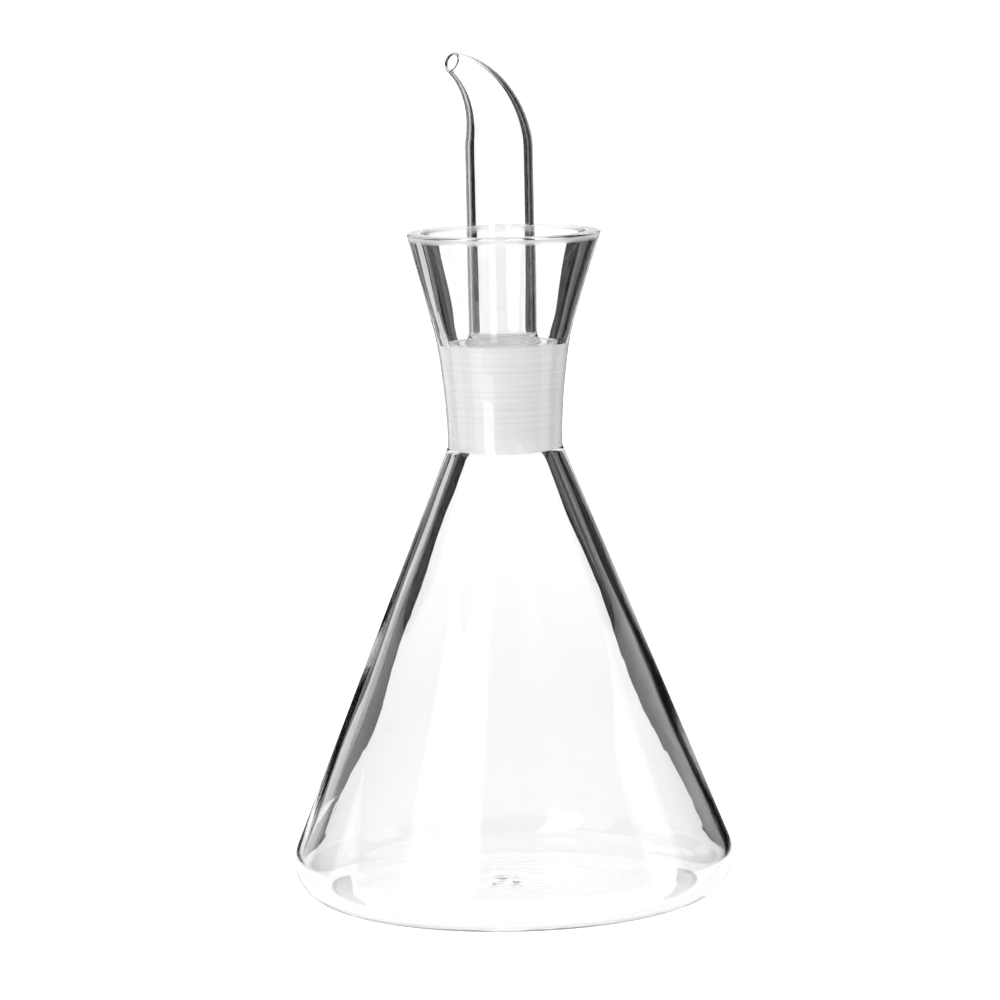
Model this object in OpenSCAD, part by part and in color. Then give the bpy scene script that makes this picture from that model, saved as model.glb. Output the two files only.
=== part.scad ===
// A hand-blown glass oil cruet: a conical flask with a ground neck and a flared drip collar,
// and a loose pourer, which is a hollow ground plug with a wide spout tube fused on top.
// Millimetres, +Z up, the origin in the middle of the face it stands on, the spout towards -X.

/* [Flask] */
// Widest radius of the flask, at its rounded heel
heel_max_r = 55.2; // [52:0.1:58]
// Radius of the heel's rounding
heel_round = 9.5; // [7:0.1:11]
// Slope of the conical wall, in degrees from upright
cone_angle = 21.8; // [21.6:0.1:22]
// Outer radius of the neck, where the cone ends
neck_r = 14.3; // [14.1:0.1:14.6]
// Radius of the hollow curve between cone and neck
waist_round = 2.5; // [2:0.1:3]
// Radius of the same curve on the inner side
waist_inner_round = 5; // [4:0.5:6]
// Thickness of the blown wall at the heel
heel_wall = 2; // [1.6:0.1:2.2]
// Slope of the wall's inner side, a little more than outside, so that the wall thickens upwards
inner_angle = 22.2; // [22:0.1:22.4]
// Thickness of the neck's wall, below the ground bore
neck_wall = 2.2; // [2.1:0.1:2.4]
// Thickness of the floor at the heel
floor_t = 3; // [2.5:0.1:4]
// Height of the pushed-up middle of the base
punt_h = 1.6; // [1:0.1:2.5]
// Width of the flat ring that the flask stands on
foot_w = 3; // [2:0.1:4]

/* [Ground neck] */
// Height of the weld between flask and ground neck
socket_z = 115; // [114.9:0.1:115.5]
// Length of the ground neck
socket_h = 24.5; // [24:0.1:25]
// Outer radius at the top of the ground neck
socket_top_r = 16.55; // [16.4:0.1:17]
// Radius of the ground bore at its top
bore_top_r = 13.6; // [13.4:0.1:13.8]
// Loss of diameter for each millimetre down the ground bore
taper = 0.1; // [0.09:0.01:0.11]

/* [Drip collar] */
// Height of the collar above the ground neck
collar_h = 27.5; // [26:0.5:29]
// Outer radius that the collar's flare reaches at the rim
rim_r = 24.3; // [23:0.1:26]
// Thickness of the collar's wall at the rim
rim_wall = 3.8; // [3:0.1:4]
// Rounding of the flat rim's two edges
rim_edge = 0.5; // [0.3:0.1:0.8]
// Width of the ledge where the collar meets the ground bore
ledge_w = 0.3; // [0.2:0.1:0.5]

/* [Pourer] */
// Gap between the two ground faces
seat_gap = 0.05; // [0.04:0.01:0.08]
// Thickness of the hollow plug's wall
plug_wall = 2; // [1.6:0.1:2.4]
// How far above the foot of the ground bore the plug ends
plug_short = 0.3; // [0.2:0.1:1]
// Rounding of the plug's top edge
plug_round = 1.2; // [0.8:0.1:1.5]
// Width of the vent groove down the plug's side
vent_w = 2.4; // [2:0.1:3]
// Depth of the vent groove
vent_d = 1; // [0.8:0.1:1.2]

/* [Spout] */
// Outer radius of the spout tube
spout_r = 8.45; // [8:0.05:9]
// Thickness of the spout tube's wall
spout_wall = 1.15; // [1:0.05:1.5]
// Outer radius of the foot, where the tube joins the plug
spout_foot_r = 9.6; // [9.4:0.1:10]
// Height at which the tube begins to bend
bend_z = 188.5; // [185:0.1:195]
// Radius of the bend, along the middle of the tube
bend_r = 22.3; // [21:0.1:25]
// How far the tube bends over, in degrees
bend_angle = 69; // [60:1:72]
// Outer radius of the mouth
mouth_r = 2.6; // [2.4:0.1:3.2]
// How late the bend draws in: 1 is a steady taper
draw = 1.2; // [1:0.05:1.6]

/* [Hidden] */
$fn = 96;

// Steps along each round stretch of an outline.
arc_steps = 10;
// The flask's heel curves round this point.
heel_mid_r = heel_max_r - heel_round;
foot_in_r = heel_mid_r - foot_w;

// How late the ground neck and the collar flare out: 1 is a straight cone.
neck_flare = 1.7;
collar_flare = 1.1;
collar_z = socket_z + socket_h;
rim_z = collar_z + collar_h;
bore_low_r = bore_top_r - socket_h * taper / 2;

plug_top_z = collar_z - 0.2;
plug_low_z = socket_z + plug_short;
spout_in_r = spout_r - spout_wall;
foot_h = 3.5;
// The vent groove's cutter runs this far past both ends of the plug.
vent_spare = 3;
// The bend is this many rings of this many sides.
bend_rings = 14;
bend_sides = 36;
// The straight tube runs this far into the bend, so that they fuse.
bend_overlap = 0.4;
// The bend's skins start this far inside the straight tube's wall, so that no faces coincide.
fuse_inset = 0.04;

// Points on an arc round mid, from angle a0 to angle a1.
function arc(mid, r, a0, a1, steps = arc_steps) =
    [for (i = [0:steps]) let (a = a0 + (a1 - a0) * i / steps) mid + r * [cos(a), sin(a)]];

// One side of the flask, from the bottom up: a heel of radius heel, a cone that leans by angle,
// and a waist of radius waist that ends on a neck of radius neck. Arcs and cone are tangent.
function flask_side(heel, angle, waist, neck) =
    let (
        mid_r = neck + waist,
        reach = heel + waist - (mid_r - heel_mid_r) * cos(angle),
        mid_z = heel_round + reach / sin(angle)
    )
    concat(
        arc([heel_mid_r, heel_round], heel, -90, angle),
        arc([mid_r, mid_z], waist, 180 + angle, 180, 5)
    );

// The pushed-up floor, from the axis out to the foot, raised by lift.
function floor_rise(lift, steps = 6) =
    [for (i = [0:steps]) [foot_in_r * i / steps, lift + punt_h * (1 - pow(i / steps, 2))]];

// Outer radius of the ground neck, t from 0 at its foot to 1 at its top.
function socket_side(t) = neck_r + (socket_top_r - neck_r) * pow(t, neck_flare);

// Outer radius of the collar, t from 0 at its foot to 1 at its rim.
function collar_side(t) = socket_top_r + (rim_r - socket_top_r) * pow(t, collar_flare);

// Radius of the ground bore at height z.
function bore_r(z) = bore_top_r - (collar_z - z) * taper / 2;

// The flask's outer side, and its inner side from the neck down and in to the axis.
function outer_side() = flask_side(heel_round, cone_angle, waist_round, neck_r);
function inner_side() = concat(
    reversed(flask_side(heel_round - heel_wall, inner_angle, waist_inner_round, neck_r - neck_wall)),
    reversed(floor_rise(floor_t))
);

function reversed(list) = [for (i = [len(list) - 1:-1:0]) list[i]];

// Centre, heading and radius of the spout along its bend, t from 0 to 1.
function bend_mid(t) = let (a = bend_angle * t)
    [-bend_r * (1 - cos(a)), 0, bend_z + bend_r * sin(a)];
function bend_out_r(t) = spout_r - fuse_inset - (spout_r - mouth_r) * pow(t, draw);
function bend_in_r(t) = bend_out_r(t) - spout_wall + 2 * fuse_inset;

// One ring of points round the bent middle line, square to it.
function bend_ring(t, r) = let (a = bend_angle * t, mid = bend_mid(t))
    [for (i = [0:bend_sides - 1])
        let (b = 360 * i / bend_sides)
        mid + r * [cos(b) * cos(a), sin(b), cos(b) * sin(a)]];

// The flask: a thin blown shell with a heavier, pushed-up floor.
module flask_body() {
    color([0.90, 0.93, 0.94, 0.35])
    rotate_extrude()
    polygon(concat(
        floor_rise(0),
        outer_side(),
        [[neck_r, socket_z], [neck_r - neck_wall, socket_z]],
        inner_side()
    ));
}

// The ground neck: a thick collar of glass, fused to the flask, with a tapered ground bore.
module ground_socket() {
    color([0.84, 0.86, 0.87, 0.8])
    rotate_extrude()
    polygon(concat(
        [for (i = [0:6]) [socket_side(i / 6), socket_z + socket_h * i / 6]],
        [[bore_top_r, collar_z], [bore_low_r, socket_z]]
    ));
}

// The drip collar: a flared funnel above the ground neck, with a flat rim and softened edges.
module drip_collar() {
    lean = atan((rim_r - socket_top_r) * collar_flare / collar_h);
    out_mid = [rim_r - rim_edge * (tan(lean) + 1 / cos(lean)), rim_z - rim_edge];
    in_mid = [rim_r - rim_wall + rim_edge, rim_z - rim_edge];
    side_end = 1 - rim_edge * (1 + sin(lean)) / collar_h;
    color([0.90, 0.93, 0.94, 0.35])
    rotate_extrude()
    polygon(concat(
        [for (i = [0:7]) let (t = i / 8 * side_end)
            [collar_side(t), collar_z + collar_h * t]],
        arc(out_mid, rim_edge, -lean, 90, 5),
        arc(in_mid, rim_edge, 90, 180, 5),
        [[bore_top_r + ledge_w, collar_z]]
    ));
}

// The ground plug: a hollow taper that fits the ground bore, open below, with a vent groove.
module ground_plug() {
    low_r = bore_r(plug_low_z) - seat_gap;
    top_r = bore_r(plug_top_z) - seat_gap;
    edge_z = plug_top_z - plug_round;
    edge_r = bore_r(edge_z) - seat_gap;
    lean = atan((top_r - low_r) / (plug_top_z - plug_low_z));
    color([0.84, 0.86, 0.87, 0.8])
    difference() {
        rotate_extrude()
        polygon(concat(
            [[low_r - plug_wall, plug_low_z], [low_r, plug_low_z]],
            arc([edge_r - plug_round, edge_z], plug_round, 0, 90, 6),
            [[spout_in_r, plug_top_z], [spout_in_r, plug_top_z - plug_wall]],
            arc([top_r - 2 * plug_wall, plug_top_z - 2 * plug_wall], plug_wall, 90, 0, 6)
        ));
        translate([low_r + vent_w / 2 - vent_d, 0, plug_low_z])
        rotate([0, lean, 0])
        translate([0, 0, -vent_spare])
        cylinder(h = socket_h + 2 * vent_spare, d = vent_w, $fn = 32);
    }
}

// The spout: a wide tube that stands on the plug, then bends over and draws in to its mouth.
module spout_tube() {
    color([0.90, 0.93, 0.94, 0.35])
    union() {
        rotate_extrude()
        polygon(concat(
            [[spout_in_r, plug_top_z], [spout_foot_r, plug_top_z]],
            [for (i = [1:6]) let (t = i / 6)
                [spout_r + (spout_foot_r - spout_r) * pow(1 - t, 2), plug_top_z + foot_h * t]],
            [[spout_r, bend_z + bend_overlap], [spout_in_r, bend_z + bend_overlap]]
        ));
        bent_spout();
    }
}

// The bent, drawn-in end of the spout: an outer and an inner skin joined at both ends.
module bent_spout() {
    n = bend_sides;
    last = bend_rings;
    outer = [for (k = [0:last]) each bend_ring(k / last, bend_out_r(k / last))];
    inner = [for (k = [0:last]) each bend_ring(k / last, bend_in_r(k / last))];
    first_inner = len(outer);
    polyhedron(
        points = concat(outer, inner),
        faces = concat(
            [for (k = [0:last - 1], i = [0:n - 1]) let (j = (i + 1) % n)
                [k * n + i, k * n + n + i, k * n + n + j, k * n + j]],
            [for (k = [0:last - 1], i = [0:n - 1]) let (j = (i + 1) % n, f = first_inner + k * n)
                [f + i, f + j, f + n + j, f + n + i]],
            [for (i = [0:n - 1]) let (j = (i + 1) % n, f = first_inner)
                [i, j, f + j, f + i]],
            [for (i = [0:n - 1]) let (j = (i + 1) % n, k = last * n, f = first_inner + last * n)
                [k + i, f + i, f + j, k + j]]
        )
    );
}

flask_body();
ground_socket();
drip_collar();
ground_plug();
spout_tube();
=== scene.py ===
# %% [markdown]
# # A glass oil cruet, blown and lampworked by hand
# The real object is two loose pieces of clear glass: a conical bottle, and a hollow pourer that
# drops into its ground neck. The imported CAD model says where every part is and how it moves.
# This lesson keeps those places and outer sizes, and gives the glass its small irregularities,
# its frosted seat and its light. Three things differ from the model: the flask's floor is thinner
# and flatter, the spout's wall thins towards the mouth, and the collar leans by under a millimetre.
# It starts by loading that model as a fixed frame.

import math

import bpy
import numpy as np
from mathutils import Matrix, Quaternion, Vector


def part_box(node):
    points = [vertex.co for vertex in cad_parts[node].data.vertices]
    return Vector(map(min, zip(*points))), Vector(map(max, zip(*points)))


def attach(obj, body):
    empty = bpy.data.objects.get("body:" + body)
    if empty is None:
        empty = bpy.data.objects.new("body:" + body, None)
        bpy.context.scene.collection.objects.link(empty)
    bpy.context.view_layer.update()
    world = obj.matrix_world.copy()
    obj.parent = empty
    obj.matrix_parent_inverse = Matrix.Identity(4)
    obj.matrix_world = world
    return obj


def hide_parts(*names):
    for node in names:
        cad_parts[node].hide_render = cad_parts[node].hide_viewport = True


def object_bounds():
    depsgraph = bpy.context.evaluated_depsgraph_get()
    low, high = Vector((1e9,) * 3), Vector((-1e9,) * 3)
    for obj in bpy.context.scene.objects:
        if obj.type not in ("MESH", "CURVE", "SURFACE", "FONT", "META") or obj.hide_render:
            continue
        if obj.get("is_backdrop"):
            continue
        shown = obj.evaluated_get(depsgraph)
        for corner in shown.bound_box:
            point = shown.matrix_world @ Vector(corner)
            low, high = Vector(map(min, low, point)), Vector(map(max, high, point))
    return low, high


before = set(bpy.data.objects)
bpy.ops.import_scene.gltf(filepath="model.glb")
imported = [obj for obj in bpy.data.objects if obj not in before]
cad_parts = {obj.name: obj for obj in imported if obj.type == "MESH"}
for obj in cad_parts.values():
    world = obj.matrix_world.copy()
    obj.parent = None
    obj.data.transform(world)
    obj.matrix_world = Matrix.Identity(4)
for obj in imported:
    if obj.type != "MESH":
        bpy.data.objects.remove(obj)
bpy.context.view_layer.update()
MM = 0.001

# %% [markdown]
# ## Take the sizes from the frame
# Two rings of glass that are fused have to share a radius to the last digit, or a gap shows in
# the wall. The numbers could be typed in again, but then they could drift from the model. Here
# they are measured: each joint between two CAD nodes lies at a known height, and the corners of
# the node's own mesh at that height give its inner and outer radius.


# %% Measure the rings where the parts meet
def corners(node):
    """All corner points of a CAD node, as rows of x, y, z."""
    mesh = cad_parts[node].data
    points = np.empty(len(mesh.vertices) * 3)
    mesh.vertices.foreach_get("co", points)
    return points.reshape(-1, 3)


def radii(node, height):
    """Smallest and largest distance from the upright axis among the node's corners at height."""
    points = corners(node)
    level = points[np.abs(points[:, 2] - height) < 0.05 * MM]
    distance = np.hypot(level[:, 0], level[:, 1])
    return distance.min(), distance.max()


heel_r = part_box("flask_body")[1].x
neck_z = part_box("flask_body")[1].z
collar_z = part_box("ground_socket")[1].z
rim_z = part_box("drip_collar")[1].z
rim_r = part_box("drip_collar")[1].x
plug_low_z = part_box("ground_plug")[0].z
plug_top_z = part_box("ground_plug")[1].z

bore_low_r, neck_r = radii("ground_socket", neck_z)
bore_top_r, neck_top_r = radii("ground_socket", collar_z)
funnel_r = radii("drip_collar", collar_z)[0]
plug_low_r = radii("ground_plug", plug_low_z)[1]
spout_in_r, spout_foot_r = radii("spout_tube", plug_top_z)
print("neck, mm:", [round(v / MM, 2) for v in (neck_r, bore_low_r, bore_top_r, neck_top_r)])

# %% [markdown]
# ## Outlines as arrays
# Everything here but the spout's tip is round, so its shape is an outline that is spun round the
# axis. An outline could be drawn as a Bezier curve and spun with a Screw modifier. Arrays are used
# instead, because the walls must then be bent slightly out of true, and that is one line of numpy
# on a grid of points. A stretch of outline leaves its own last point to the next stretch.


# %% Straight and round stretches of an outline
def line(start, end, steps):
    """Even steps on the straight line from start up to, and without, end."""
    t = np.arange(steps)[:, None] / steps
    return np.array(start) * (1 - t) + np.array(end) * t


def arc(mid, radius, first, last, steps):
    """Even steps in angle on the circle round mid, from first up to, and without, last degrees."""
    a = np.radians(first + (last - first) * np.arange(steps) / steps)
    return np.array(mid) + radius * np.stack([np.cos(a), np.sin(a)], axis=1)


def tangent_mid(heel, angle, waist, neck):
    """Middle of the waist's circle, which touches both the cone and the neck. The cone is the line
    that touches the heel's circle where the wall leans by angle, so the two middles lie heel plus
    waist apart, measured square to the cone."""
    mid_r = neck + waist
    across = (mid_r - heel_mid_r) * math.cos(angle)
    return mid_r, HEEL_ROUND + (heel + waist - across) / math.sin(angle)


def flask_side(heel, degrees, waist, neck, steps):
    """Heel, cone and waist of one side of the flask, from the bottom up. The steps are spent
    mostly on the cone, which is the long stretch."""
    angle = math.radians(degrees)
    mid = tangent_mid(heel, angle, waist, neck)
    normal = np.array([math.cos(angle), math.sin(angle)])
    foot = np.array([heel_mid_r, HEEL_ROUND]) + heel * normal
    head = np.array(mid) - waist * normal
    return np.concatenate([
        arc((heel_mid_r, HEEL_ROUND), heel, -90, degrees, 22),
        line(foot, head, steps),
        arc(mid, waist, 180 + degrees, 180, 8),
    ])


HEEL_ROUND = 9.5 * MM
heel_mid_r = heel_r - HEEL_ROUND
print("heel's middle, mm:", round(heel_mid_r / MM, 2))

# %% [markdown]
# ## From outline to mesh
# A ring of points for each point of the outline gives a grid. Faces join neighbours in the grid.
# The order of a face's corners decides which way it looks: round the axis first, then along the
# outline, with the outline going up the outside and down the inside, makes every face look out of
# the glass. Each stretch carries a finish number, so that one wall can be clear, ground or welded.


# %% Spin an outline, and skin a grid of rings
CLEAR, GROUND, WELD, HAZED = 0, 1, 2, 3


def outline(*stretches):
    """Joins (points, finish) stretches into one array of points and one finish for each point.
    A stretch's finish is one number, or a number for each of its points."""
    points = np.concatenate([p for p, _ in stretches])
    finish = np.concatenate([np.full(len(p), 0) + f for p, f in stretches])
    return points, finish


def spin(points, sides):
    """Rings of an outline: point (r, z) becomes (r cos a, r sin a, z) at each of sides angles."""
    a = 2 * math.pi * np.arange(sides) / sides
    r, z = points[:, :1], points[:, 1:]
    return np.stack([r * np.cos(a), r * np.sin(a), z + 0 * a], axis=2)


def skin(name, rings, finish, poles=()):
    """A closed mesh from rings[k, j]. Without poles the last ring joins the first, as in a tube
    with a wall. With poles, (bottom, top) points on the axis, a fan of triangles closes each end,
    and the bottom fan takes the first finish and the top fan the last."""
    count, sides = rings.shape[:2]
    vertices = rings.reshape(-1, 3)
    k = np.arange(count - 1 if poles else count)[:, None]
    j = np.arange(sides)[None, :]
    up, beside = (k + 1) % count, (j + 1) % sides
    quads = np.stack(np.broadcast_arrays(
        k * sides + j, k * sides + beside, up * sides + beside, up * sides + j), axis=2)
    faces = quads.reshape(-1, 4).tolist()
    look = np.repeat(finish[: len(k)], sides)
    if poles:
        vertices = np.concatenate([vertices, np.array(poles)])
        low, high, last = count * sides, count * sides + 1, (count - 1) * sides
        faces += [(low, int(b), int(a)) for a, b in zip(j[0], beside[0])]
        faces += [(high, int(last + a), int(last + b)) for a, b in zip(j[0], beside[0])]
        look = np.concatenate([look, np.full(sides, finish[0]), np.full(sides, finish[-1])])
    mesh = bpy.data.meshes.new(name)
    mesh.from_pydata(vertices.tolist(), [], faces)
    mesh.polygons.foreach_set("material_index", look.astype(np.int32))
    mesh.polygons.foreach_set("use_smooth", np.ones(len(faces), bool))
    mesh.set_sharp_from_angle(angle=math.radians(50))
    piece = bpy.data.objects.new(name, mesh)
    bpy.context.scene.collection.objects.link(piece)
    print(name, "has", len(vertices), "points and", len(faces), "faces")
    return piece


# %% [markdown]
# ## What hands and flame leave behind
# Blown glass is never quite round or even. A Displace modifier with a cloud texture would roughen
# it everywhere, also where parts must fit. Here the wall is pushed by a short sum of cosines that
# close on themselves round the axis, and a window fades the push to nothing at every weld and at
# the ground seat.


# %% Slow waves and windows
def window(value, fade_in, full, out_from, gone):
    """0 before fade_in, 1 from full to out_from, 0 after gone, smooth between."""
    rise = np.clip((value - fade_in) / (full - fade_in), 0, 1)
    fall = np.clip((gone - value) / (gone - out_from), 0, 1)
    both = np.minimum(rise, fall)
    return both * both * (3 - 2 * both)


def waves(rings, turns, lengths, seed):
    """A sum of cosines over the surface, about -1 to 1. Wave i goes round turns[i] times, has the
    length lengths[i] up the axis, and a phase drawn once from seed."""
    a = np.arctan2(rings[..., 1], rings[..., 0])
    phase = np.random.default_rng(seed).uniform(0, 2 * math.pi, len(turns))
    total = sum(
        np.cos(n * a + 2 * math.pi * rings[..., 2] / length + shift)
        for n, length, shift in zip(turns, lengths, phase))
    return total / math.sqrt(len(turns))


def push_out(rings, amount):
    """Moves every point away from the axis by amount, which may differ from point to point."""
    r = np.maximum(np.hypot(rings[..., 0], rings[..., 1]), 1e-9)
    moved = rings.copy()
    moved[..., :2] *= (1 + amount / r)[..., None]
    return moved


def bead(height, weld_z):
    """The slight swelling that a flame-made weld leaves, as a bell curve over height."""
    return 0.05 * MM * np.exp(-(((height - weld_z) / (0.7 * MM)) ** 2))


def outer_marks(rings):
    """How far the outer skin of the bottle stands out of true: long waves on cone and collar, and
    a bead at each weld. Fused parts use this one function, so their rings still meet."""
    z = rings[..., 2]
    cone = window(z, 16 * MM, 30 * MM, neck_z - 12 * MM, neck_z - 3 * MM)
    collar = window(z, collar_z + 2 * MM, collar_z + 12 * MM, rim_z, rim_z + 9 * MM)
    slow = waves(rings, (2, 3, 5), (140 * MM, 90 * MM, 60 * MM), 4)
    return 0.03 * MM * slow * (cone + collar) + bead(z, neck_z) + bead(z, collar_z)


# %% [markdown]
# ## The flask
# The flask is one blown bubble: a floor pushed up in the middle so that it stands on a ring, a
# tight heel, a straight cone and a short waist. A Solidify modifier could give it a wall of even
# thickness, but this wall is thin at the heel and thicker towards the neck, so the inner side has
# an outline of its own. The floor cooled in rings round the iron that held it, and those rings
# show as ripples, with a scar of small dents in the middle. The floor is 2 mm thick and pushed up
# by 1.2 mm, against 3 mm and 1.6 mm in the model, because a steeper floor bends dark patches into
# view.


# %% Blow the flask
BOTTLE_SIDES = 240
FOOT_W, FLOOR_T, PUNT = 3 * MM, 2 * MM, 1.2 * MM
HEEL_WALL, NECK_WALL = 2 * MM, 2.2 * MM
foot_r = heel_mid_r - FOOT_W


def floor_line(edge_r, edge_z, steps):
    """The pushed-up floor from near the axis out to its edge: highest in the middle, and level
    again where the edge begins, as (1 - x^2)^1.5 is at both its ends."""
    r = edge_r * (np.arange(steps) + 1) / (steps + 1)
    return np.stack([r, edge_z + PUNT * (1 - (r / edge_r) ** 2) ** 1.5], axis=1)


def floor_ripples(rings):
    """Height of the inner floor's ripples. Rings of two lengths, each with its middle a little off
    the axis, beat against each other and fade out towards the heel; a seeded handful of small
    bell-shaped dents and lumps marks the middle."""
    x, y = rings[..., 0], rings[..., 1]
    r = np.hypot(x, y)
    near = np.hypot(x - 2 * MM, y + 3 * MM)
    far = np.hypot(x + 4 * MM, y - 1 * MM)
    ripple = 0.02 * np.cos(2 * math.pi * near / (7 * MM)) + 0.02 * np.cos(2 * math.pi * far / (11 * MM))
    ripple *= MM * window(r, -2 * MM, 4 * MM, 0.6 * foot_r, foot_r)
    draw = np.random.default_rng(11)
    for _ in range(16):
        mx, my = draw.normal(0, 4.5 * MM, 2)
        width, depth = draw.uniform(0.7, 1.6) * MM, draw.uniform(-0.35, 0.2) * MM
        ripple += depth * np.exp(-((x - mx) ** 2 + (y - my) ** 2) / width ** 2)
    return ripple * window(r, -1, 0, 0.7 * foot_r, foot_r)


STEP = 0.1 * MM
neck_in_r = neck_r - NECK_WALL
outer_side = flask_side(HEEL_ROUND, 21.8, 2.5 * MM, neck_r, 90)
inner_side = flask_side(HEEL_ROUND - HEEL_WALL, 22.2, 5 * MM, neck_in_r, 90)[::-1]
outer_skin = np.concatenate([
    floor_line(foot_r, 0, 24),
    line((foot_r, 0), (heel_mid_r, 0), 2),
    outer_side,
    line((neck_r, outer_side[-1, 1] + STEP), (neck_r, neck_z), 3),
])
flask_points, flask_finish = outline(
    (outer_skin, CLEAR),
    (np.array([[neck_r, neck_z]]), WELD),
    (line((neck_in_r, neck_z), (neck_in_r, inner_side[0, 1] + STEP), 5), GROUND),
    (inner_side, CLEAR),
    (floor_line(heel_mid_r, FLOOR_T, 76)[::-1], CLEAR),
)
flask_rings = spin(flask_points, BOTTLE_SIDES)
inside = np.arange(len(flask_points)) > len(outer_skin)
wall_z = flask_rings[..., 2]
inner_push = 0.04 * MM * waves(flask_rings, (1, 2, 4, 7), (110 * MM, 70 * MM, 45 * MM, 38 * MM), 7)
inner_push *= window(wall_z, 9 * MM, 30 * MM, neck_z - 20 * MM, neck_z - 6 * MM)
flask_rings = push_out(flask_rings, np.where(inside[:, None], inner_push, outer_marks(flask_rings)))
on_floor = inside & (flask_points[:, 0] < foot_r) & (flask_points[:, 1] < 8 * MM)
flask_rings[on_floor, :, 2] += floor_ripples(flask_rings[on_floor])
flask_shell = skin("flask_shell", flask_rings, flask_finish,
                   poles=[(0, 0, PUNT), (0, 0, FLOOR_T + PUNT)])

# %% [markdown]
# ## The ground neck
# A short, thick tube is fused on the flask and its bore is ground with grit on a tapered mandrel,
# at one millimetre in ten. The outside stays fire-polished and the inside turns white. Both faces
# belong to one closed wall, so the bore is a stretch with a finish of its own.


# %% Fuse on the ground neck
NECK_FLARE, COLLAR_FLARE = 1.7, 1.1


def flared(start, end, power, steps):
    """A side that leaves start straight up and flares out to end as height to the power."""
    t = np.arange(steps) / steps
    r = start[0] + (end[0] - start[0]) * t ** power
    return np.stack([r, start[1] + (end[1] - start[1]) * t], axis=1)


neck_side = flared((neck_r, neck_z), (neck_top_r, collar_z), NECK_FLARE, 50)
neck_points, neck_finish = outline(
    (neck_side, CLEAR),
    (np.array([[neck_top_r, collar_z]]), WELD),
    (line((bore_top_r, collar_z), (bore_low_r, neck_z), 50), GROUND),
    (np.array([[bore_low_r, neck_z]]), WELD),
)
neck_rings = spin(neck_points, BOTTLE_SIDES)
outside = (np.arange(len(neck_points)) <= len(neck_side))[:, None]
neck_rings = push_out(neck_rings, np.where(outside, outer_marks(neck_rings), 0))
ground_neck = skin("ground_neck", neck_rings, neck_finish)

# %% [markdown]
# ## The drip collar
# The collar is a funnel flared out in the flame with a graphite paddle. It catches what runs down
# the spout. Its wall is nearly four millimetres thick, which is why so much of its side looks
# dark. Its rim was ground flat, which leaves a white haze on the top and just below the outer
# edge. The paddle leaves shallow waves, and the funnel leans a little, which the model's doesn't.


# %% Flare the collar
RIM_WALL, RIM_EDGE, HAZE_H, LEAN = 3.8 * MM, 0.5 * MM, 1.7 * MM, 0.9 * MM
slope = COLLAR_FLARE * (rim_r - neck_top_r) / (rim_z - collar_z)
lean = math.atan(slope)
# The sloping side, drawn on, would reach the rim's level this far outside the rounded edge.
rim_over = 0.37 * RIM_EDGE
out_mid = (rim_r - RIM_EDGE, rim_z - RIM_EDGE)
in_mid = (rim_r + rim_over - RIM_WALL + RIM_EDGE, rim_z - RIM_EDGE)
edge_steps, top_steps = 8, 6
side_end = (out_mid[0] + RIM_EDGE * math.cos(lean), out_mid[1] - RIM_EDGE * math.sin(lean))
collar_side = flared((neck_top_r, collar_z), side_end, COLLAR_FLARE, 80)
collar_points, collar_finish = outline(
    (collar_side, np.where(collar_side[:, 1] > rim_z - RIM_EDGE - HAZE_H, HAZED, CLEAR)),
    (arc(out_mid, RIM_EDGE, -math.degrees(lean), 90, edge_steps), CLEAR),
    (line((out_mid[0], rim_z), (in_mid[0], rim_z), top_steps), GROUND),
    (arc(in_mid, RIM_EDGE, 90, 180, edge_steps), CLEAR),
    (line((in_mid[0] - RIM_EDGE, in_mid[1]), (funnel_r, collar_z), 60), CLEAR),
    (np.array([[funnel_r, collar_z]]), WELD),
)
collar_rings = spin(collar_points, BOTTLE_SIDES)
last_rim_row = len(collar_side) + 2 * edge_steps + top_steps - 1
funnel_side = (np.arange(len(collar_points)) >= last_rim_row)[:, None]
funnel_push = 0.02 * MM * waves(collar_rings, (3, 5, 8), (60 * MM, 34 * MM, 25 * MM), 21)
funnel_push *= window(collar_rings[..., 2], collar_z + MM, collar_z + 8 * MM, rim_z, rim_z + 9 * MM)
collar_rings = push_out(collar_rings, np.where(funnel_side, funnel_push, outer_marks(collar_rings)))
share = np.clip((collar_rings[..., 2] - collar_z) / (rim_z - collar_z), 0, 1)
collar_rings[..., 0] += LEAN * share ** 1.5
drip_funnel = skin("drip_funnel", collar_rings, collar_finish)

# %% [markdown]
# ## The hollow plug
# The plug is blown hollow, ground to the same taper as the neck, and left open below. A groove
# down one side lets air into the bottle as oil pours out, and lets drips run back. The groove
# could be cut with a Boolean, but moving grid points inwards along a half circle keeps the mesh
# even.


# %% Grind the plug
PLUG_WALL, PLUG_ROUND = 2 * MM, 1.2 * MM
VENT_W, VENT_D = 2.4 * MM, 1 * MM
taper = (bore_top_r - bore_low_r) / (collar_z - neck_z)


def plug_r(z):
    """Radius of the plug's ground side: it grows with height by the neck's own taper."""
    return plug_low_r + (z - plug_low_z) * taper


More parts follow.
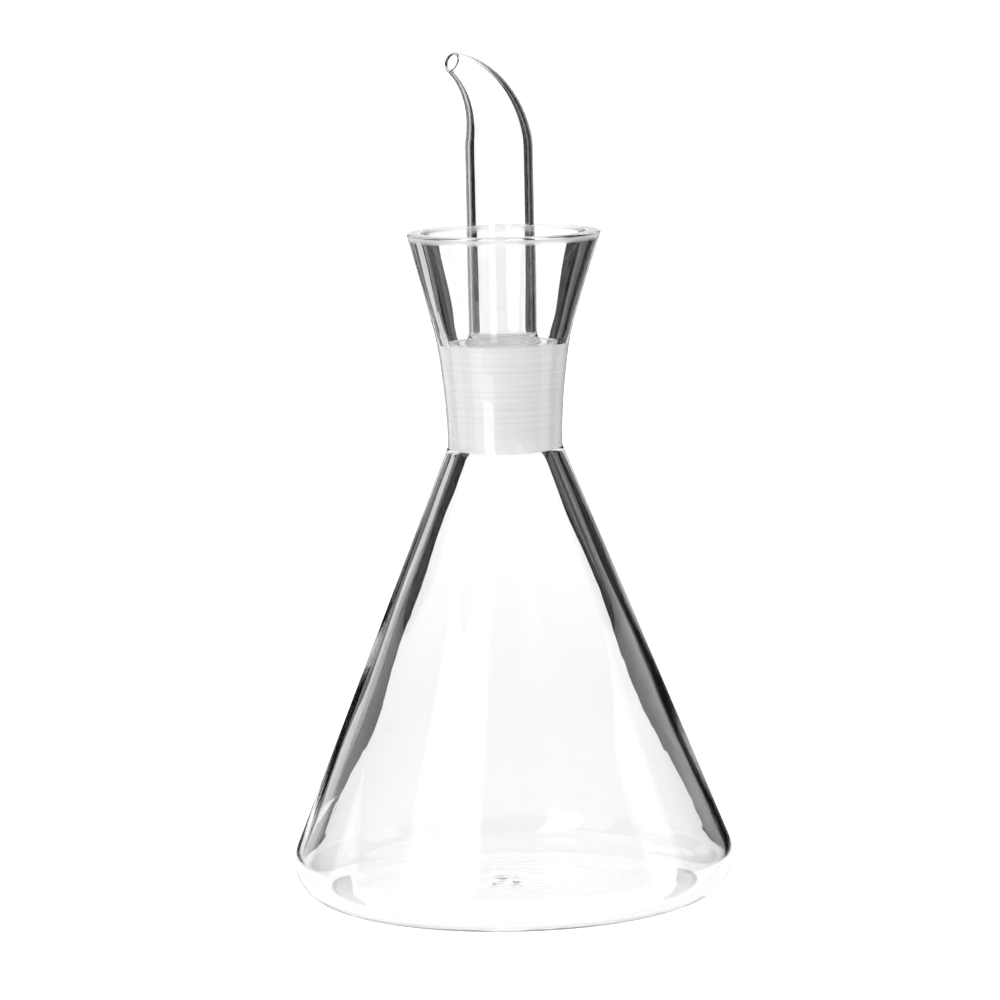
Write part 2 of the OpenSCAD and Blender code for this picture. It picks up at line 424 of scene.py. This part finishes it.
edge_z = plug_top_z - PLUG_ROUND
edge_mid = (plug_r(edge_z) - PLUG_ROUND, edge_z)
crown_mid = (plug_r(plug_top_z) - 2 * PLUG_WALL, plug_top_z - 2 * PLUG_WALL)
under_z = plug_top_z - PLUG_WALL
lip = 0.4 * MM
bevel = line((plug_low_r - lip, plug_low_z), (plug_low_r, plug_low_z + lip), 3)
ground_side = line((plug_low_r, plug_low_z + lip), (plug_r(edge_z), edge_z), 60)
shoulder = arc(edge_mid, PLUG_ROUND, 0, 90, 10)
plug_points, plug_finish = outline(
    (bevel, CLEAR),
    (ground_side, GROUND),
    (shoulder, GROUND),
    (line((edge_mid[0], plug_top_z), (spout_foot_r, plug_top_z), 4), CLEAR),
    (np.array([[spout_foot_r, plug_top_z]]), WELD),
    (line((spout_in_r, plug_top_z), (spout_in_r, under_z), 4), CLEAR),
    (line((spout_in_r, under_z), (crown_mid[0], under_z), 4), CLEAR),
    (arc(crown_mid, PLUG_WALL, 90, 0, 10), CLEAR),
    (line((crown_mid[0] + PLUG_WALL, crown_mid[1]), (plug_low_r - PLUG_WALL, plug_low_z), 50), CLEAR),
)
plug_rings = spin(plug_points, BOTTLE_SIDES)
aside = plug_rings[..., 1] / (VENT_W / 2)
cut = VENT_D * np.sqrt(np.clip(1 - aside ** 2, 0, 1)) * (plug_rings[..., 0] > 0)
# The groove runs two rows out on to the flat top.
cut_rows = len(bevel) + len(ground_side) + len(shoulder) + 2
outer_rows = (np.arange(len(plug_points)) < cut_rows)[:, None]
plug_rings = push_out(plug_rings, np.where(outer_rows, -cut, 0))
hollow_plug = skin("hollow_plug", plug_rings, plug_finish)

# %% [markdown]
# ## The spout
# The spout was drawn from the same tube as its foot: heated, pulled thin and bent over in one
# move, so it narrows as it turns. A curve with a bevel could follow that path, but its wall would
# have no inside. Here the outline is written along the tube's middle line, s upwards and r across,
# and a carry function bends the straight tube round a circle. The wall goes from 1.15 mm down to
# 0.6 mm at the mouth, where the model keeps it even, so the visible opening is a millimetre wider.


# %% Draw and bend the spout
SPOUT_SIDES = 120
SPOUT_R, SPOUT_WALL, MOUTH_WALL = 8.45 * MM, 1.15 * MM, 0.6 * MM
FOOT_H, MOUTH_R = 3.5 * MM, 2.6 * MM
BEND_Z, BEND_R, BEND = 188.5 * MM, 22.3 * MM, math.radians(69)
DRAW = 1.2
bend_length = BEND_R * BEND


def spout_out(s):
    """Outer radius at s along the tube: a flared foot, a straight tube, then a draw to the mouth."""
    foot = np.clip(1 - (s - plug_top_z) / FOOT_H, 0, 1)
    drawn = np.clip((s - BEND_Z) / bend_length, 0, 1)
    return SPOUT_R + (spout_foot_r - SPOUT_R) * foot ** 2 - (SPOUT_R - MOUTH_R) * drawn ** DRAW


def spout_in(s):
    """Inner radius at s: the tube's own wall below, and a thinner one as the glass is drawn out."""
    drawn = np.clip((s - BEND_Z) / bend_length, 0, 1)
    straight = np.clip((s - plug_top_z) / FOOT_H, 0, 1)
    wall = SPOUT_WALL + (MOUTH_WALL - SPOUT_WALL) * drawn
    return np.where(straight < 1, spout_in_r, spout_out(s) - wall)


def carry(points, sides):
    """Rings of an outline (r, s) round the tube's middle line. Below the bend s is plain height.
    In the bend the line turns towards -X on a circle, and each ring stays square to it. Past the
    bend's end the line runs on straight, which leaves room for the mouth's round lip."""
    r, s = points[:, :1], points[:, 1:]
    a = 2 * math.pi * np.arange(sides) / sides
    turn = np.clip((s - BEND_Z) / BEND_R, 0, BEND)
    over = np.maximum(s - BEND_Z - bend_length, 0)
    mid_x = -BEND_R * (1 - np.cos(turn)) - over * np.sin(turn)
    mid_z = np.minimum(s, BEND_Z) + BEND_R * np.sin(turn) + over * np.cos(turn)
    x = mid_x + r * np.cos(a) * np.cos(turn)
    z = mid_z + r * np.cos(a) * np.sin(turn)
    return np.stack([x, r * np.sin(a) + 0 * x, z], axis=2)


def along(side, first, last, steps):
    """A stretch of (r, s) points from first to last, with r given by side."""
    s = first + (last - first) * np.arange(steps) / steps
    return np.stack([side(s), s], axis=1)


mouth_s = BEND_Z + bend_length
lip_r = MOUTH_WALL / 2
spout_points, spout_finish = outline(
    (along(spout_out, plug_top_z, plug_top_z + FOOT_H, 14), CLEAR),
    (along(spout_out, plug_top_z + FOOT_H, BEND_Z, 70), CLEAR),
    (along(spout_out, BEND_Z, mouth_s, 90), CLEAR),
    (arc((MOUTH_R - lip_r, mouth_s), lip_r * 1.3, 0, 180, 12), CLEAR),
    (along(spout_in, mouth_s, BEND_Z, 90), CLEAR),
    (along(spout_in, BEND_Z, plug_top_z, 84), CLEAR),
    (np.array([[spout_in_r, plug_top_z]]), WELD),
)
spout_rings = carry(spout_points, SPOUT_SIDES)
bent_spout = skin("bent_spout", spout_rings, spout_finish)

# %% [markdown]
# ## Patterns that several finishes share
# Glass is hard to see by its colour. What shows is what bends or scatters light: faint cords from
# the melt, tiny seeds of air, wiping marks and hair scratches. Two node groups hold those, so that
# the clear and the ground glass can use the same patterns with strengths of their own. They put
# out only masks and heights; the shader itself stays in each material.


# %% Node groups for cords, seeds and handling marks
def new_group(name, inputs, outputs):
    """An empty shader node group with float inputs {name: default} and the named float outputs."""
    tree = bpy.data.node_groups.new(name, "ShaderNodeTree")
    for label, default in inputs.items():
        socket = tree.interface.new_socket(label, in_out="INPUT", socket_type="NodeSocketFloat")
        socket.default_value = default
    for label in outputs:
        tree.interface.new_socket(label, in_out="OUTPUT", socket_type="NodeSocketFloat")
    return tree, tree.nodes.new("NodeGroupInput"), tree.nodes.new("NodeGroupOutput")


def place(tree, kind, **values):
    """A new node of that kind, with properties set by name and input sockets set by title, in
    which _ stands for a space."""
    node = tree.nodes.new("ShaderNode" + kind)
    for label, value in values.items():
        if hasattr(node, label):
            setattr(node, label, value)
        else:
            node.inputs[label.replace("_", " ")].default_value = value
    return node


def object_points(tree, scale):
    """The piece's own coordinates, scaled along x, y and z: larger numbers give finer patterns."""
    where = tree.nodes.new("ShaderNodeTexCoord")
    mapping = tree.nodes.new("ShaderNodeMapping")
    mapping.inputs["Scale"].default_value = scale
    tree.links.new(where.outputs["Object"], mapping.inputs["Vector"])
    return mapping.outputs["Vector"]


def ramp(tree, value, low, high):
    """A value mapped so that low gives 0 and high gives 1, held between them."""
    node = tree.nodes.new("ShaderNodeMapRange")
    node.inputs["From Min"].default_value = low
    node.inputs["From Max"].default_value = high
    tree.links.new(value, node.inputs["Value"])
    return node.outputs["Result"]


def arithmetic(tree, operation, *values):
    """A Math node on two or three values, each a socket or a number."""
    node = place(tree, "Math", operation=operation)
    for number, value in enumerate(values):
        if isinstance(value, (int, float)):
            node.inputs[number].default_value = value
        else:
            tree.links.new(value, node.inputs[number])
    return node.outputs[0]


def melt_marks():
    """Group: Cords is a height of slow streaks along the glass, and Seeds a mask of tiny bubbles."""
    tree, given, result = new_group("melt_marks", {"Cord Depth": 1.0, "Seed Size": 0.12}, ["Cords", "Seeds"])
    streaks = place(tree, "TexNoise", Scale=1.0, Detail=3.0, Roughness=0.55)
    tree.links.new(object_points(tree, (90, 90, 22)), streaks.inputs["Vector"])
    cords = arithmetic(tree, "MULTIPLY", streaks.outputs["Fac"], given.outputs["Cord Depth"])
    tree.links.new(cords, result.inputs["Cords"])
    specks = place(tree, "TexVoronoi", Scale=1.0)
    tree.links.new(object_points(tree, (95, 95, 70)), specks.inputs["Vector"])
    inside_seed = arithmetic(tree, "LESS_THAN", specks.outputs["Distance"], given.outputs["Seed Size"])
    tree.links.new(inside_seed, result.inputs["Seeds"])
    return tree


def handling_marks():
    """Group: Film is a mask of faint wiping haze, and Scratches a height of fine hair scratches."""
    tree, given, result = new_group("handling_marks", {"Film": 0.5}, ["Film", "Scratches"])
    haze = place(tree, "TexNoise", Scale=1.0, Detail=5.0, Roughness=0.6)
    tree.links.new(object_points(tree, (38, 38, 55)), haze.inputs["Vector"])
    film = arithmetic(tree, "MULTIPLY", ramp(tree, haze.outputs["Fac"], 0.45, 0.8), given.outputs["Film"])
    tree.links.new(film, result.inputs["Film"])
    hairs = place(tree, "TexNoise", Scale=1.0, Detail=2.0, Distortion=0.6)
    tree.links.new(object_points(tree, (700, 700, 60)), hairs.inputs["Vector"])
    tree.links.new(ramp(tree, hairs.outputs["Fac"], 0.72, 0.78), result.inputs["Scratches"])
    return tree


MELT, HANDLING = melt_marks(), handling_marks()
print("groups:", [g.name for g in bpy.data.node_groups])

# %% [markdown]
# ## Clear glass
# The Principled shader with full transmission is glass once its IOR is right: 1.47 for
# borosilicate. It needs no colour to speak of. Cycles treats glass as solid for the light that
# reaches the floor, which gives it a black shadow that real glass doesn't have, so rays that only
# carry light to matt surfaces go straight through a transparent shader instead.


# %% Material helpers and clear glass
def blank_material(name):
    """A material with an empty node tree and its output node."""
    material = bpy.data.materials.new(name)
    material.use_nodes = True
    material.node_tree.nodes.clear()
    return material, material.node_tree, material.node_tree.nodes.new("ShaderNodeOutputMaterial")


def use_group(tree, group, **values):
    """The group placed in a material, with its inputs set by title."""
    node = tree.nodes.new("ShaderNodeGroup")
    node.node_tree = group
    for label, value in values.items():
        node.inputs[label.replace("_", " ")].default_value = value
    return node


def tint(tree, mask, clean, marked):
    """A colour that goes from clean to marked as the mask goes from 0 to 1."""
    mix = tree.nodes.new("ShaderNodeMix")
    mix.data_type = "RGBA"
    mix.inputs["A"].default_value = (*clean, 1)
    mix.inputs["B"].default_value = (*marked, 1)
    tree.links.new(mask, mix.inputs["Factor"])
    return mix.outputs["Result"]


def bump(tree, height, strength, depth, under=None):
    """A bump from a height that counts as depth metres, laid over another bump if one is given."""
    node = place(tree, "Bump", Strength=strength, Distance=depth)
    tree.links.new(height, node.inputs["Height"])
    if under is not None:
        tree.links.new(under, node.inputs["Normal"])
    return node.outputs["Normal"]


def let_light_through(tree, glass, out, share):
    """Mixes in a transparent shader for rays that only carry light to matt surfaces, shadow rays
    and diffuse ones, with that share of their light."""
    path = tree.nodes.new("ShaderNodeLightPath")
    carries = arithmetic(tree, "MAXIMUM", path.outputs["Is Shadow Ray"], path.outputs["Is Diffuse Ray"])
    clear = tree.nodes.new("ShaderNodeBsdfTransparent")
    clear.inputs["Color"].default_value = (share, share, share, 1)
    mix = tree.nodes.new("ShaderNodeMixShader")
    tree.links.new(carries, mix.inputs["Fac"])
    tree.links.new(glass, mix.inputs[1])
    tree.links.new(clear.outputs["BSDF"], mix.inputs[2])
    tree.links.new(mix.outputs["Shader"], out.inputs["Surface"])


def clear_glass():
    """Fire-polished borosilicate: nearly smooth, with cords, seeds, a trace of film and hairs."""
    material, tree, out = blank_material("clear_glass")
    melt = use_group(tree, MELT, Cord_Depth=1.0, Seed_Size=0.09)
    hand = use_group(tree, HANDLING, Film=1.0)
    glass = place(tree, "BsdfPrincipled", Transmission_Weight=1.0, IOR=1.47)
    tree.links.new(tint(tree, hand.outputs["Film"], (0.995, 0.995, 0.995), (0.985, 0.987, 0.988)),
                   glass.inputs["Base Color"])
    tree.links.new(arithmetic(tree, "MULTIPLY", hand.outputs["Film"], 0.03), glass.inputs["Roughness"])
    normal = bump(tree, melt.outputs["Cords"], 1.0, 0.02 * MM)
    normal = bump(tree, melt.outputs["Seeds"], 0.5, 0.06 * MM, normal)
    normal = bump(tree, hand.outputs["Scratches"], 0.1, 0.01 * MM, normal)
    tree.links.new(normal, glass.inputs["Normal"])
    let_light_through(tree, glass.outputs["BSDF"], out, 0.97)
    return material


# %% [markdown]
# ## Ground and hazed glass
# Grit leaves a surface of tiny facets, which scatters light both ways. Only a third of the light
# goes on as a blur; the rest comes back white, so the shader mixes a matt white with a rough
# transmission. The grit turned with the mandrel, so the tone and the bump run in fine level rings.
# Near the rim the grinding has only grazed the wall, and there the roughness alone fades in.


# %% Ground seat, hazed rim
def ground_glass():
    """The ground seat: rough all over, with fine rings left by the grit and a few missed pits."""
    material, tree, out = blank_material("ground_glass")
    grit = place(tree, "TexNoise", Scale=1.0, Detail=4.0, Roughness=0.7)
    tree.links.new(object_points(tree, (900, 900, 900)), grit.inputs["Vector"])
    rings = place(tree, "TexNoise", Scale=1.0, Detail=2.0)
    tree.links.new(object_points(tree, (12, 12, 1400)), rings.inputs["Vector"])
    melt = use_group(tree, MELT, Cord_Depth=1.0, Seed_Size=0.14)
    glass = place(tree, "BsdfPrincipled", Transmission_Weight=0.35, IOR=1.47)
    tree.links.new(tint(tree, rings.outputs["Fac"], (0.8, 0.8, 0.8), (0.55, 0.55, 0.55)),
                   glass.inputs["Base Color"])
    rough = arithmetic(tree, "MULTIPLY_ADD", grit.outputs["Fac"], 0.25, 0.32)
    smoother = arithmetic(tree, "MULTIPLY", melt.outputs["Seeds"], 0.3)
    tree.links.new(arithmetic(tree, "SUBTRACT", rough, smoother), glass.inputs["Roughness"])
    normal = bump(tree, rings.outputs["Fac"], 0.5, 0.05 * MM)
    normal = bump(tree, grit.outputs["Fac"], 0.6, 0.03 * MM, normal)
    tree.links.new(normal, glass.inputs["Normal"])
    let_light_through(tree, glass.outputs["BSDF"], out, 0.85)
    return material


def hazed_glass():
    """The collar's side just under its ground rim: clear below, and rougher the nearer the rim."""
    material, tree, out = blank_material("hazed_glass")
    split = tree.nodes.new("ShaderNodeSeparateXYZ")
    tree.links.new(object_points(tree, (1, 1, 1)), split.inputs["Vector"])
    near_rim = ramp(tree, split.outputs["Z"], rim_z - RIM_EDGE - HAZE_H, rim_z - RIM_EDGE - 0.5 * MM)
    hand = use_group(tree, HANDLING, Film=1.0)
    glass = place(tree, "BsdfPrincipled", Transmission_Weight=0.8, IOR=1.47)
    tree.links.new(tint(tree, hand.outputs["Film"], (0.9, 0.9, 0.9), (0.8, 0.8, 0.8)),
                   glass.inputs["Base Color"])
    tree.links.new(arithmetic(tree, "MULTIPLY", near_rim, 0.5), glass.inputs["Roughness"])
    let_light_through(tree, glass.outputs["BSDF"], out, 0.95)
    return material


# %% [markdown]
# ## Faces inside a weld
# The neck, the flask and the collar are closed meshes of their own, so where they are fused, two
# faces lie on each other inside the glass. A glass shader there would mirror and bend light that
# in the real object meets nothing, so those faces are plainly transparent.


# %% Weld faces, and the list of finishes
def weld_face():
    """The hidden face where two parts are fused. Light must cross it as if no face were there."""
    material, tree, out = blank_material("weld_face")
    through = tree.nodes.new("ShaderNodeBsdfTransparent")
    tree.links.new(through.outputs["BSDF"], out.inputs["Surface"])
    return material


FINISHES = [clear_glass(), ground_glass(), weld_face(), hazed_glass()]
print("materials:", [m.name for m in FINISHES])

# %% [markdown]
# ## Hang every piece on the frame
# Each piece rides on the body that its CAD node belongs to, takes that node's place, and names the
# material slot that it is finished in. The order of materials matches the finish numbers above.

# %% Ride, replace and finish
PIECES = [
    (flask_shell, "bottle", "flask_body", "clear_glass"),
    (ground_neck, "bottle", "ground_socket", "ground_glass"),
    (drip_funnel, "bottle", "drip_collar", "clear_glass"),
    (hollow_plug, "pourer", "ground_plug", "ground_glass"),
    (bent_spout, "pourer", "spout_tube", "clear_glass"),
]
for piece, body, node, slot in PIECES:
    for finish in FINISHES:
        piece.data.materials.append(finish)
    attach(piece, body)
    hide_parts(node)
    print(piece.name, "rides on", body, "and stands for", node)

# %% [markdown]
# ## A bright field
# Glass on white is lit from behind: the middle shows the bright ground through the glass, and
# the edges, which bend light from the sides, show black cards that stand just outside the view.
# The ground is pale and glows slightly, as a light table does. The cards stand in a ring with a
# gap for each direction from which the cruet is looked at, and black paper lies on the ground
# between the same directions. Behind some gaps stands a paler card, which gives the thin grey
# lines inside the dark edges. Only rays that have met the glass can see cards and paper, so they
# never stand in the way.


# %% Floor and cards
def plain_surface(name, shade, glow, far_glow=0.0, seen_glow=0.0):
    """A matt grey of that shade which also glows by glow, with a little variation in the matt.
    Away from the middle it glows by up to far_glow more, as a light table does at its back edge.
    Rays straight from the camera see it glow by seen_glow more, which keeps a floor pure white."""
    material, tree, out = blank_material(name)
    cloud = place(tree, "TexNoise", Scale=3.0, Detail=2.0)
    tree.links.new(object_points(tree, (1, 1, 1)), cloud.inputs["Vector"])
    matt = place(tree, "BsdfPrincipled", Roughness=0.9, Specular_IOR_Level=0.0)
    tree.links.new(tint(tree, cloud.outputs["Fac"], (shade,) * 3, (shade * 0.99,) * 3),
                   matt.inputs["Base Color"])
    matt.inputs["Emission Color"].default_value = (1, 1, 1, 1)
    path = tree.nodes.new("ShaderNodeLightPath")
    seen = arithmetic(tree, "MULTIPLY", path.outputs["Is Camera Ray"], seen_glow)
    away = tree.nodes.new("ShaderNodeVectorMath")
    away.operation = "LENGTH"
    tree.links.new(object_points(tree, (1, 1, 1)), away.inputs[0])
    far = arithmetic(tree, "MULTIPLY", ramp(tree, away.outputs["Value"], 0.3, 1.0), far_glow)
    total = arithmetic(tree, "ADD", arithmetic(tree, "ADD", seen, far), glow)
    tree.links.new(total, matt.inputs["Emission Strength"])
    tree.links.new(matt.outputs["BSDF"], out.inputs["Surface"])
    return material


def sheet_object(name, grid, material, keep=None):
    """An open sheet of quads from grid[i, j], as stage kit, without the quads where keep is false."""
    rows, columns = grid.shape[:2]
    i, j = np.meshgrid(np.arange(rows - 1), np.arange(columns - 1), indexing="ij")
    first = i * columns + j
    faces = np.stack([first, first + 1, first + columns + 1, first + columns], axis=2)
    mesh = bpy.data.meshes.new(name)
    faces = faces[keep] if keep is not None else faces.reshape(-1, 4)
    mesh.from_pydata(grid.reshape(-1, 3).tolist(), [], faces.tolist())
    mesh.materials.append(material)
    item = bpy.data.objects.new(name, mesh)
    bpy.context.scene.collection.objects.link(item)
    item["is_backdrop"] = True
    return item


def flat_grid(size, z):
    """A flat square of four by four quads at height z, which reaches size each way."""
    marks = np.linspace(-size, size, 5)
    x, y = np.meshgrid(marks, marks, indexing="ij")
    return np.stack([x, y, z + 0 * x], axis=2)


def card_grid(first, last, radius, low, high):
    """Part of an upright cylinder round the axis, from first to last degrees clockwise of +Y."""
    bearing = np.radians(np.linspace(first, last, 9))[:, None]
    z = np.linspace(low, high, 2)[None, :]
    return np.stack([radius * np.sin(bearing) + 0 * z, radius * np.cos(bearing) + 0 * z,
                     z + 0 * bearing], axis=2)


PAPER = plain_surface("pale_floor", 0.8, 0.05, 0.18, 0.38)
BLACK = plain_surface("black_card", 0.005, 0.0)
GREY = plain_surface("grey_card", 0.12, 0.0)
PALE = plain_surface("pale_card", 0.1, 0.85)
SOFT = plain_surface("soft_card", 0.3, 0.4)
floor = sheet_object("floor", flat_grid(14, -0.05 * MM)[:, ::-1], PAPER)


def only_for_glass(card):
    """Leaves a card to be seen by rays that have met the glass, and by no others."""
    card.visible_camera = card.visible_diffuse = card.visible_shadow = False


NEAR, FAR, BEHIND, TOP = 0.385, 0.7, 0.75, 0.38
# Each card: first and last bearing in degrees, distance, lower and upper edge, and shade.
CARDS = [
    (11.2, 28.2, NEAR, 0, TOP, BLACK), (51.8, 82, NEAR, 0, TOP, BLACK), (82, 94, NEAR, 0, TOP, GREY),
    (94, 123.8, NEAR, 0, TOP, BLACK), (146.2, 239, NEAR, 0, 0.9, BLACK),
    (281.2, 303.8, NEAR, 0, TOP, BLACK), (326.2, 348, NEAR, 0, TOP, BLACK),
    (7.2, 18, FAR, 0, TOP, BLACK), (342, 352.8, FAR, 0, TOP, BLACK),
    (-7.2, 7.2, FAR, 0.27, TOP, BLACK), (123.8, 146.2, NEAR, 0.2, TOP, BLACK),
    (262, 281.2, NEAR, 0.29, TOP, BLACK), (303.8, 326.2, NEAR, 0.13, TOP, BLACK),
    (-8, 8, BEHIND, 0, 0.3, SOFT), (120, 150, BEHIND, 0, TOP, PALE),
    (256, 284, BEHIND, 0, TOP, PALE), (300, 330, BEHIND, 0, TOP, PALE),
]
for first, last, radius, low, high, shade in CARDS:
    only_for_glass(sheet_object("card", card_grid(first, last, radius, low, high), shade))


def clear_of(bearings, looks):
    """For each bearing, the least distance from the axis that lies outside every look's corridor.
    A corridor starts half wide and gains spread in width on each side per metre ahead, so the
    distance is half / (|sin d| - spread cos d), where d is the angle from the look."""
    nearest = np.full(len(bearings), 0.1)
    for look, half, spread in looks:
        d = np.radians(bearings - look)
        gap = np.abs(np.sin(d)) - spread * np.cos(d)
        reach = np.where(gap > 0.01, half / np.maximum(gap, 0.01), 9.0)
        nearest = np.where(np.cos(d) > 0, np.maximum(nearest, reach), nearest)
    return nearest


def floor_cards(name, bearings, first, last, shade=BLACK, z=0.3 * MM):
    """Dark floor between two distances from the axis, each given for every bearing."""
    turn = np.radians(bearings)[:, None]
    r = np.stack([np.minimum(first, last), last], axis=1)
    grid = np.stack([r * np.sin(turn), r * np.cos(turn), 0 * r + z], axis=2)
    keep = (first < last - MM)[:-1] & (first < last - MM)[1:]
    only_for_glass(sheet_object(name, grid[::-1], shade, keep[::-1, None]))
    return keep.sum()


bearings = np.linspace(-180, 180, 1441)
HALF, SPREAD, PAPER_R = 0.057, 0.05, 0.2
near_looks = [(40, 0.058, 0.0545), (135, HALF, SPREAD), (-45, HALF, SPREAD), (-90, HALF, SPREAD)]
inner_edge = clear_of(bearings, near_looks)
outer_edge = clear_of(bearings, near_looks + [(0, HALF, SPREAD)])
everywhere = np.ones(len(bearings))
count = floor_cards("floor_near", bearings, inner_edge, PAPER_R * everywhere)
count += floor_cards("floor_far", bearings, np.maximum(outer_edge, PAPER_R), NEAR * everywhere)
ahead = np.linspace(-9.5, 9.5, 39)
count += floor_cards("floor_soft", ahead, np.full(39, PAPER_R), np.full(39, BEHIND), SOFT, 0.15 * MM)
print(len(CARDS), "cards and", count, "slices of dark floor")

# %% [markdown]
# ## Soft light
# An even white surround does nearly all of the lighting. One tall strip light stands in front, to
# the left of the camera: glass mirrors it as a long pale band down the cone. It is an area light,
# which shows in reflections. It is hidden from the camera, so it stays out of the picture.


# %% Surround and strip light
def surround(strength):
    """An even white world."""
    world = bpy.data.worlds.new("white_surround")
    world.use_nodes = True
    world.node_tree.nodes["Background"].inputs["Color"].default_value = (1, 1, 1, 1)
    world.node_tree.nodes["Background"].inputs["Strength"].default_value = strength
    bpy.context.scene.world = world


def strip_light(name, bearing, distance, middle, width, height, brightness):
    """An area light that faces the axis, at a bearing clockwise of +Y. brightness is its radiance,
    so its power is that times its area and pi."""
    data = bpy.data.lights.new(name, "AREA")
    data.shape = "RECTANGLE"
    data.size, data.size_y = width, height
    data.energy = brightness * width * height * math.pi
    lamp = bpy.data.objects.new(name, data)
    angle = math.radians(bearing)
    lamp.location = (distance * math.sin(angle), distance * math.cos(angle), middle)
    lamp.rotation_euler = (math.pi / 2, 0, math.pi - angle)
    lamp.visible_camera = False
    bpy.context.scene.collection.objects.link(lamp)
    return lamp


surround(1.2)
strip_light("strip_light", bearing=251.5, distance=0.45, middle=0.3, width=0.16, height=0.6,
            brightness=3.0)

# %% [markdown]
# ## The camera
# A long lens from 1.2 metres away, a little above the rim, keeps the cone's sides straight and
# opens the ellipses only slightly. The camera stands where the spout comes forward and to the
# left. It is rolled by about a degree, as a hand-levelled tripod is.

# %% Place the camera
CAMERA_AZIMUTH = math.radians(-40)
CAMERA_R, CAMERA_Z, AIM_Z, AIM_X = 1.2, 0.2562, 0.0998, -0.0016
LENS, ROLL = 174.4, -0.0214
camera_data = bpy.data.cameras.new("camera")
camera_data.lens, camera_data.sensor_width = LENS, 36
camera = bpy.data.objects.new("camera", camera_data)
bpy.context.scene.collection.objects.link(camera)
side = np.array([math.cos(CAMERA_AZIMUTH), math.sin(CAMERA_AZIMUTH), 0])
back = np.array([math.sin(CAMERA_AZIMUTH), -math.cos(CAMERA_AZIMUTH), 0])
stand = CAMERA_R * back + np.array([0, 0, CAMERA_Z])
look = AIM_X * side + np.array([0, 0, AIM_Z]) - stand
pitch = math.atan2(look[2], math.hypot(look[0], look[1]))
heading = math.atan2(look[1], look[0]) - math.pi / 2
camera.location = stand
camera.rotation_euler = (math.pi / 2 + pitch, 0, heading)
camera.rotation_mode = "QUATERNION"
camera.rotation_quaternion = camera.rotation_euler.to_quaternion() @ Quaternion((0, 0, 1), ROLL)
bpy.context.scene.camera = camera
bpy.context.scene.view_settings.view_transform = "Standard"
for bounces in ("max_bounces", "transmission_bounces", "glossy_bounces", "transparent_max_bounces"):
    setattr(bpy.context.scene.cycles, bounces, 32)

# %% [markdown]
# ## Print the visual box
# The visual pieces have to fill the same box as the CAD model, so their box is printed.

# %% Print the sizes
low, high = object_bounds()
print("visual box, mm:", [round(v / MM, 1) for v in (*low, *high)])
